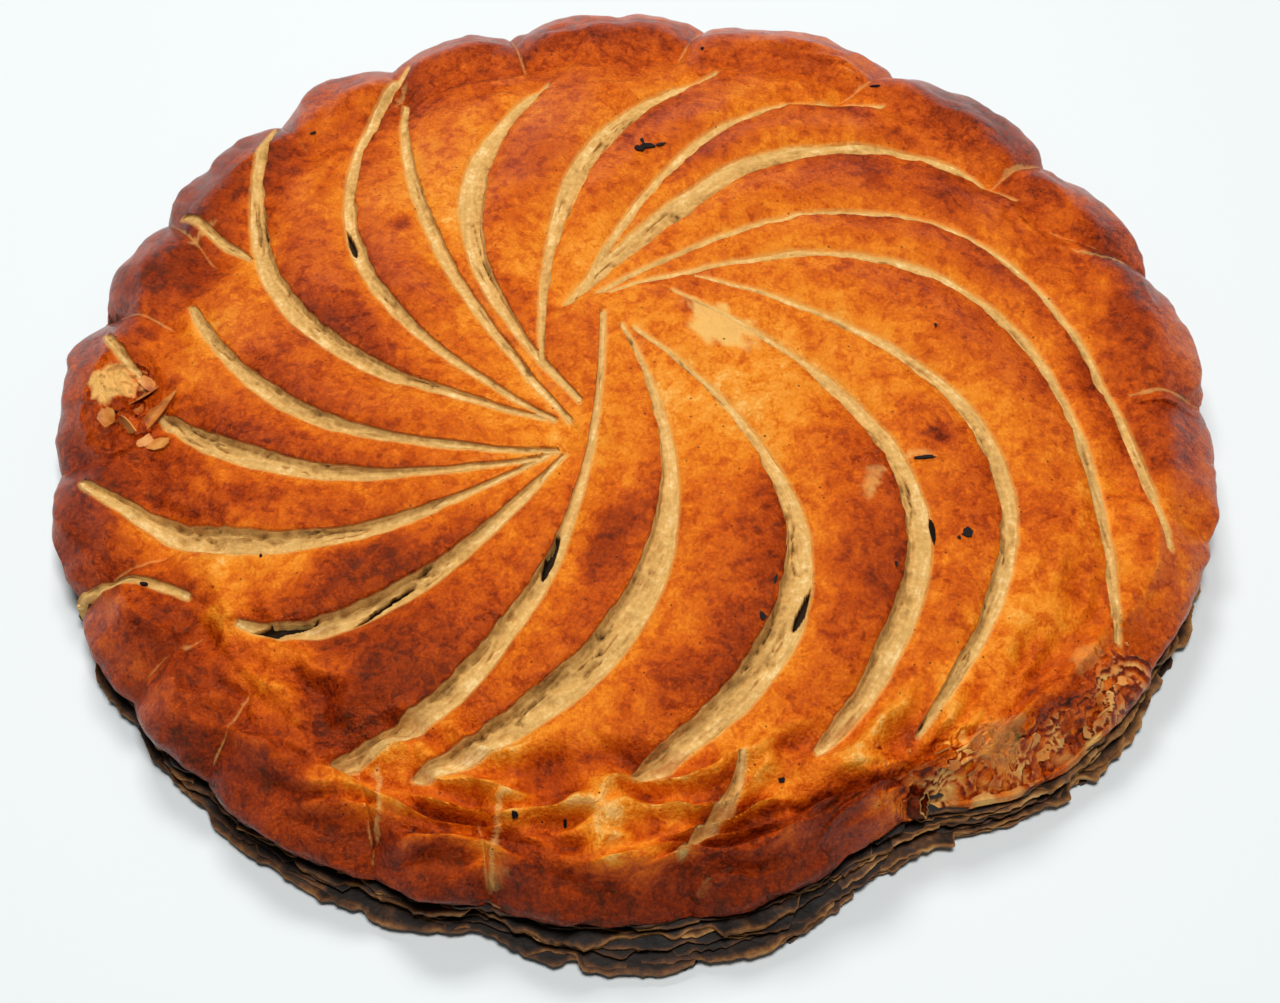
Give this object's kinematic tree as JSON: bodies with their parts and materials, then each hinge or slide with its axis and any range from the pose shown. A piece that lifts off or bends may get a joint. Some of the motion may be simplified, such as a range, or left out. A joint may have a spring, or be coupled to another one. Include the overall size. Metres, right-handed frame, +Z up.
{
  "type": "galette des rois",
  "caption": "Round domed puff pastry cake with a glossy browned crust, a swirl of curved knife cuts and a scalloped, flaky border, resting on a flat base.",
  "frame": {"origin": "middle of the flat base, on the surface that the cake rests on", "axes": "+Z up through the crown; the drawn-in part of the border faces -Y, +X lies to its right seen from there"},
  "size_m": [0.2998, 0.2984, 0.0385],
  "materials": {
    "crust": "egg-washed puff pastry baked golden to dark brown, satin gloss, pale matt crumb in the cuts"
  },
  "bodies": {
    "root": {"galette": "crust"}
  },
  "joints": []
}
